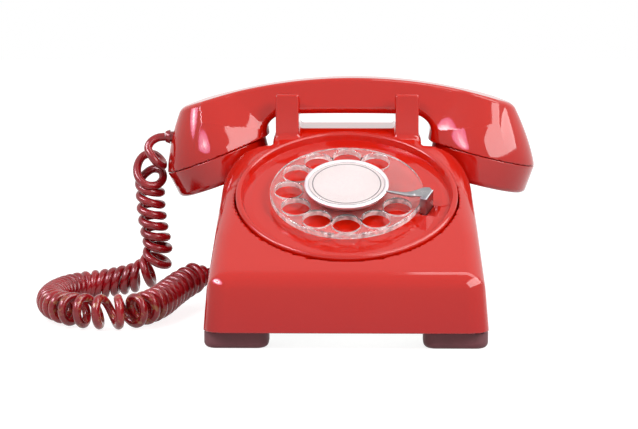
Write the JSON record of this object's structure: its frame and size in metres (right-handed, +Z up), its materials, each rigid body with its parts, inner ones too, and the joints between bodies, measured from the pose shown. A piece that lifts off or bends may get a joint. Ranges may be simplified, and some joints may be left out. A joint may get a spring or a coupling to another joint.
{
  "type": "rotary telephone",
  "caption": "Desk telephone with a sloping moulded housing, clear finger wheel, handset in a prong cradle and a curled cord.",
  "frame": {"origin": "on the table under the middle of the housing's footprint", "axes": "+X to the right of somebody who dials, -Y to the front, +Z up"},
  "size_m": [0.2804, 0.214, 0.1319],
  "materials": {
    "red_plastic": "gloss moulded plastic, orange red",
    "clear_plastic": "clear moulded acrylic",
    "card": "plain white card",
    "chromed_brass": "bright chromium plate",
    "stop_steel": "worn bright steel",
    "cord_vinyl": "crimson vinyl, worn tan at the front of the loop",
    "foot_rubber": "dark maroon rubber",
    "black_moulding": "black moulded plastic",
    "zinc_steel": "zinc plated steel",
    "brass": "plain brass",
    "leaf_insulator": "cream moulded insulator"
  },
  "bodies": {
    "root": {"housing": "red_plastic", "base_plate": "zinc_steel", "foot_front_left": "foot_rubber", "foot_front_right": "foot_rubber", "foot_rear_left": "foot_rubber", "foot_rear_right": "foot_rubber", "base_screw_front": "zinc_steel", "base_screw_rear": "zinc_steel", "ringer_frame": "zinc_steel", "ringer_coil": "brass", "gong_1": "brass", "gong_screw_1": "zinc_steel", "gong_2": "brass", "gong_screw_2": "zinc_steel", "volume_bracket": "zinc_steel", "network": "black_moulding", "terminal_screw_1": "brass", "terminal_screw_2": "brass", "terminal_screw_3": "brass", "terminal_screw_4": "brass", "switch_bracket": "zinc_steel", "switch_contacts": "leaf_insulator", "switch_spring": "zinc_steel", "dial_bracket": "zinc_steel", "number_ring": "red_plastic", "finger_stop": "stop_steel", "dial_plate": "zinc_steel", "dial_bridge": "zinc_steel", "dial_post_1": "brass", "dial_post_2": "brass", "dial_post_3": "brass", "mainspring": "zinc_steel", "governor_cup": "brass", "pulse_contacts": "black_moulding", "curly_cord": "cord_vinyl", "handset_tail": "cord_vinyl", "base_tail": "cord_vinyl", "cord_grommet": "black_moulding"},
    "finger_dial": {"finger_wheel": "clear_plastic", "card_bezel": "chromed_brass", "number_card": "card", "card_window": "clear_plastic", "main_shaft": "zinc_steel", "main_gear": "brass"},
    "lay_shaft": {"lay_pinion": "zinc_steel", "speed_gear": "brass", "pulse_cam": "black_moulding"},
    "governor": {"governor_rotor": "zinc_steel", "governor_weights": "brass"},
    "clapper_body": {"clapper": "zinc_steel"},
    "volume_body": {"volume_wheel": "black_moulding"},
    "plunger_left_body": {"plunger_left": "clear_plastic"},
    "plunger_right_body": {"plunger_right": "clear_plastic"},
    "lever_body": {"switch_lever": "zinc_steel"},
    "handset": {"handle": "red_plastic", "transmitter_cap": "red_plastic", "receiver_cap": "red_plastic", "transmitter_unit": "zinc_steel", "receiver_unit": "black_moulding", "cord_bushing": "black_moulding"}
  },
  "joints": [
    {"name": "handset_lift", "type": "slide", "parent": "root", "child": "handset", "axis": [0, 0, 1], "range_m": [0, 0.07]},
    {"name": "plunger_left_rise", "type": "slide", "parent": "root", "child": "plunger_left_body", "axis": [0, 0, 1], "range_m": [0, 0.005]},
    {"name": "plunger_right_rise", "type": "slide", "parent": "root", "child": "plunger_right_body", "axis": [0, 0, 1], "range_m": [0, 0.005]},
    {"name": "lever_swing", "type": "hinge", "parent": "root", "child": "lever_body", "pos_m": [0, 0.022, 0.086], "axis": [1, 0, 0], "range_deg": [0, 19.5]},
    {"name": "dial_turn", "type": "hinge", "parent": "root", "child": "finger_dial", "pos_m": [0, -0.0385, 0.076], "axis": [0, -0.4695, 0.8829], "range_deg": [-334, 0], "stiffness_Nm_per_rad": 0.004, "springref_deg": 57.3},
    {"name": "lay_shaft_turn", "type": "hinge", "parent": "root", "child": "lay_shaft", "pos_m": [-0.01966, -0.05065, 0.06954], "axis": [0, -0.4695, 0.8829], "range_deg": [0, 1337]},
    {"name": "governor_turn", "type": "hinge", "parent": "root", "child": "governor", "pos_m": [-0.01047, -0.05747, 0.06592], "axis": [0, -0.4695, 0.8829], "range_deg": [-4010, 0]},
    {"name": "clapper_swing", "type": "hinge", "parent": "root", "child": "clapper_body", "pos_m": [0.02, 0.05, 0.03], "axis": [0, 0, 1], "range_deg": [-7, 7], "stiffness_Nm_per_rad": 0.001},
    {"name": "volume_turn", "type": "hinge", "parent": "root", "child": "volume_body", "pos_m": [0.042, 0.006, 0.016], "axis": [0, 1, 0], "range_deg": [-50, 50]}
  ],
  "couplings": [
    {"joint": "plunger_left_rise", "follows": "handset_lift", "ratio": 0.0714},
    {"joint": "plunger_right_rise", "follows": "handset_lift", "ratio": 0.0714},
    {"joint": "lever_swing", "follows": "handset_lift", "rad_per_m": 4.8},
    {"joint": "lay_shaft_turn", "follows": "dial_turn", "ratio": -4},
    {"joint": "governor_turn", "follows": "dial_turn", "ratio": 12}
  ]
}
